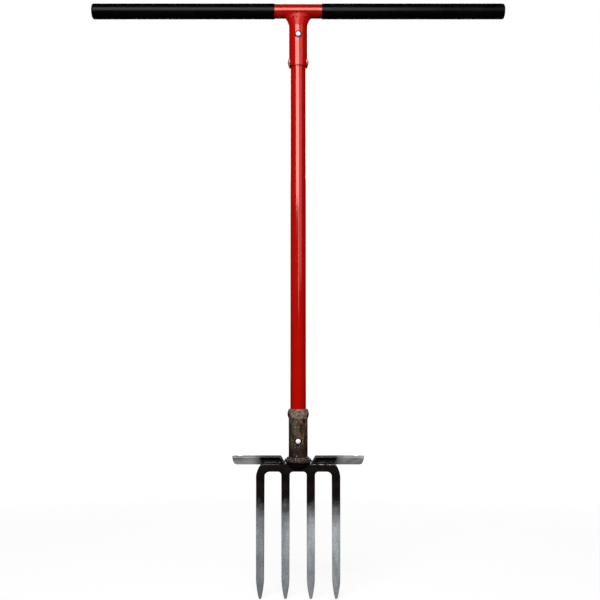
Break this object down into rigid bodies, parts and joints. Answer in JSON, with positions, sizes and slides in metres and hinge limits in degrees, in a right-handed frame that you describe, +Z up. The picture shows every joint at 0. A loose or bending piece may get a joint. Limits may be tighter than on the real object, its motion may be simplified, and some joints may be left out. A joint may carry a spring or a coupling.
{
  "type": "lawn aerator fork",
  "caption": "T-handled lawn aerating fork: tubular shaft socketed on a forged, flat-tined head with folded foot treads.",
  "frame": {"origin": "on the shaft axis, at the level of the tine tips", "axes": "+Z up along the shaft towards the handle; X along the crossbar and the row of tines, +X to the right seen from the front; -Y is the front"},
  "size_m": [0.806, 0.053, 1.1458],
  "materials": {
    "red_paint": "gloss",
    "grip_rubber": "satin",
    "painted_rivet": "satin",
    "bright_rivet": "polished",
    "dark_washer": "satin",
    "aged_rivet": "aged",
    "scaled_steel": "heat-darkened, mottled",
    "weld_metal": "rippled",
    "forged_steel": "satin, dark at the crosshead",
    "tread_steel": "satin"
  },
  "bodies": {
    "root": {"crossbar_tube": "red_paint", "shaft_tube": "red_paint", "handle_socket": "red_paint", "handle_weld": "red_paint", "left_grip": "grip_rubber", "right_grip": "grip_rubber", "handle_side_rivet": "painted_rivet", "handle_front_rivet": "bright_rivet", "handle_rivet_washers": "dark_washer", "head_side_rivet": "aged_rivet", "head_front_rivet": "bright_rivet", "head_rivet_washers": "dark_washer", "head_socket": "scaled_steel", "socket_flange": "scaled_steel", "socket_weld": "weld_metal", "fork_head": "forged_steel", "left_tread": "tread_steel", "right_tread": "tread_steel", "left_tread_weld": "weld_metal", "right_tread_weld": "weld_metal"}
  },
  "joints": []
}
